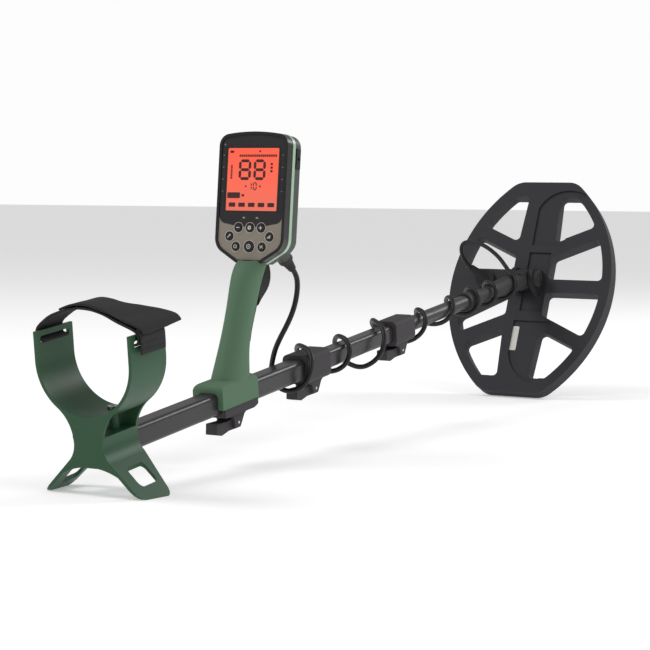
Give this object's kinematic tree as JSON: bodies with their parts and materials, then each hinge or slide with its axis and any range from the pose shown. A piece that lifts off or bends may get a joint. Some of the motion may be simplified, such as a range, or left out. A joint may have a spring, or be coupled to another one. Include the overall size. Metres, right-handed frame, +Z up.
{
  "type": "metal detector",
  "caption": "Hand-held metal detector: armrest with strap, telescoping shaft, handle with a control pod, wound lead and a tilting oval search coil.",
  "frame": {"origin": "middle of the footprint's bounding box, on the ground that the feet and the coil's lower end stand on", "axes": "+X to the user's right, +Y forward from the armrest to the coil, +Z up; the shaft rises forward by 6.8 degrees"},
  "size_m": [0.229, 1.1012, 0.3275],
  "materials": {
    "tube_metal": "dark anodised, satin",
    "tube_composite": "satin carbon composite",
    "green_plastic": "satin moulded",
    "grip_green": "soft satin",
    "trim_green": "satin moulded",
    "black_plastic": "matt moulded",
    "lock_plastic": "satin moulded",
    "coil_plastic": "satin moulded",
    "housing_grey": "satin moulded",
    "panel_dark": "satin printed film",
    "keypad_grey": "satin printed film",
    "key_rubber": "glossy domed",
    "window": "clear hard coat",
    "display": "lit liquid crystal",
    "board": "solder resist",
    "steel": "bright",
    "soft_black": "matt",
    "webbing": "woven",
    "copper": "enamelled wire",
    "cell_wrap": "shrink wrap",
    "pad_plastic": "natural"
  },
  "bodies": {
    "upper_shaft": {"upper_tube": "tube_metal", "armrest": "green_plastic", "armrest_screw": "steel", "armrest_block": "black_plastic", "arm_strap": "webbing", "lock_mid_body": "lock_plastic", "lock_mid_pin": "steel", "lock_mid_pad": "pad_plastic", "lead_upper": "soft_black"},
    "middle_shaft": {"middle_tube": "tube_metal", "middle_guide": "pad_plastic", "lock_low_body": "lock_plastic", "lock_low_pin": "steel", "lock_low_pad": "pad_plastic", "lead_middle": "soft_black"},
    "lower_shaft": {"lower_tube": "tube_composite", "lower_guide": "pad_plastic", "rod_end": "black_plastic", "tilt_washers": "soft_black", "lead_lower": "soft_black"},
    "coil": {"coil_shell": "coil_plastic", "coil_cover": "coil_plastic", "transmit_winding": "copper", "receive_winding": "copper", "coil_gland": "soft_black", "tilt_bolt": "black_plastic"},
    "coil_nut": {"tilt_nut": "black_plastic"},
    "handle": {"handle_shell": "grip_green", "grip_strip": "soft_black", "battery_cell": "cell_wrap", "clamp_body": "lock_plastic", "clamp_pin": "steel", "clamp_pad": "pad_plastic", "clamp_screws": "steel", "pod_bezel": "black_plastic", "face_panel": "panel_dark", "keypad_panel": "keypad_grey", "display_window": "window", "display_module": "display", "circuit_board": "board", "pod_trim": "trim_green", "pod_rear_housing": "housing_grey", "speaker": "black_plastic", "socket_block": "soft_black", "pod_screws": "steel", "lead_plug": "soft_black", "lead_drop": "soft_black"},
    "clamp_arm": {"clamp_lever": "lock_plastic"},
    "lock_mid_arm": {"lock_mid_lever": "lock_plastic"},
    "lock_low_arm": {"lock_low_lever": "lock_plastic"},
    "connector_ring": {"plug_ring": "black_plastic"},
    "key_minus_cap": {"key_minus": "key_rubber"},
    "key_settings_cap": {"key_settings": "key_rubber"},
    "key_plus_cap": {"key_plus": "key_rubber"},
    "key_mode_cap": {"key_mode": "key_rubber"},
    "key_sensitivity_cap": {"key_sensitivity": "key_rubber"},
    "key_power_cap": {"key_power": "key_rubber"},
    "key_detect_cap": {"key_detect": "key_rubber"},
    "key_accept_cap": {"key_accept": "key_rubber"}
  },
  "joints": [
    {"name": "middle_slide", "type": "slide", "parent": "upper_shaft", "child": "middle_shaft", "axis": [0, 0.9929, 0.1188], "range_m": [-0.1, 0.16], "deforming": ["lead_upper"]},
    {"name": "lower_slide", "type": "slide", "parent": "middle_shaft", "child": "lower_shaft", "axis": [0, 0.9929, 0.1188], "range_m": [-0.1, 0.16], "deforming": ["lead_middle"]},
    {"name": "coil_tilt", "type": "hinge", "parent": "lower_shaft", "child": "coil", "pos_m": [0, 0.45475, 0.15742], "axis": [1, 0, 0], "range_deg": [-55, 35], "deforming": ["lead_lower"]},
    {"name": "nut_turn", "type": "hinge", "parent": "coil", "child": "coil_nut", "pos_m": [0, 0.45475, 0.15742], "axis": [1, 0, 0], "continuous": true},
    {"name": "handle_slide", "type": "slide", "parent": "upper_shaft", "child": "handle", "axis": [0, 0.9929, 0.1188], "range_m": [-0.1, 0.04], "deforming": ["lead_drop"]},
    {"name": "clamp_lever_turn", "type": "hinge", "parent": "handle", "child": "clamp_arm", "pos_m": [0, -0.30188, 0.04182], "axis": [1, 0, 0], "range_deg": [0, 95]},
    {"name": "lock_mid_lever_turn", "type": "hinge", "parent": "upper_shaft", "child": "lock_mid_arm", "pos_m": [0, -0.14413, 0.0618], "axis": [1, 0, 0], "range_deg": [0, 95]},
    {"name": "lock_low_lever_turn", "type": "hinge", "parent": "middle_shaft", "child": "lock_low_arm", "pos_m": [0, 0.06426, 0.08774], "axis": [1, 0, 0], "range_deg": [0, 95]},
    {"name": "plug_ring_turn", "type": "hinge", "parent": "handle", "child": "connector_ring", "pos_m": [0.02, -0.24835, 0.21263], "axis": [0, 0.8224, -0.569], "continuous": true},
    {"name": "key_minus_press", "type": "slide", "parent": "handle", "child": "key_minus_cap", "axis": [0, 0.9967, -0.0815], "range_m": [0, 0.0008], "stiffness_N_per_m": 600, "springref_m": -0.001},
    {"name": "key_settings_press", "type": "slide", "parent": "handle", "child": "key_settings_cap", "axis": [0, 0.9967, -0.0815], "range_m": [0, 0.0008], "stiffness_N_per_m": 600, "springref_m": -0.001},
    {"name": "key_plus_press", "type": "slide", "parent": "handle", "child": "key_plus_cap", "axis": [0, 0.9967, -0.0815], "range_m": [0, 0.0008], "stiffness_N_per_m": 600, "springref_m": -0.001},
    {"name": "key_mode_press", "type": "slide", "parent": "handle", "child": "key_mode_cap", "axis": [0, 0.9967, -0.0815], "range_m": [0, 0.0008], "stiffness_N_per_m": 600, "springref_m": -0.001},
    {"name": "key_sensitivity_press", "type": "slide", "parent": "handle", "child": "key_sensitivity_cap", "axis": [0, 0.9967, -0.0815], "range_m": [0, 0.0008], "stiffness_N_per_m": 600, "springref_m": -0.001},
    {"name": "key_power_press", "type": "slide", "parent": "handle", "child": "key_power_cap", "axis": [0, 0.9967, -0.0815], "range_m": [0, 0.0008], "stiffness_N_per_m": 600, "springref_m": -0.001},
    {"name": "key_detect_press", "type": "slide", "parent": "handle", "child": "key_detect_cap", "axis": [0, 0.9967, -0.0815], "range_m": [0, 0.0008], "stiffness_N_per_m": 600, "springref_m": -0.001},
    {"name": "key_accept_press", "type": "slide", "parent": "handle", "child": "key_accept_cap", "axis": [0, 0.9967, -0.0815], "range_m": [0, 0.0008], "stiffness_N_per_m": 600, "springref_m": -0.001}
  ]
}
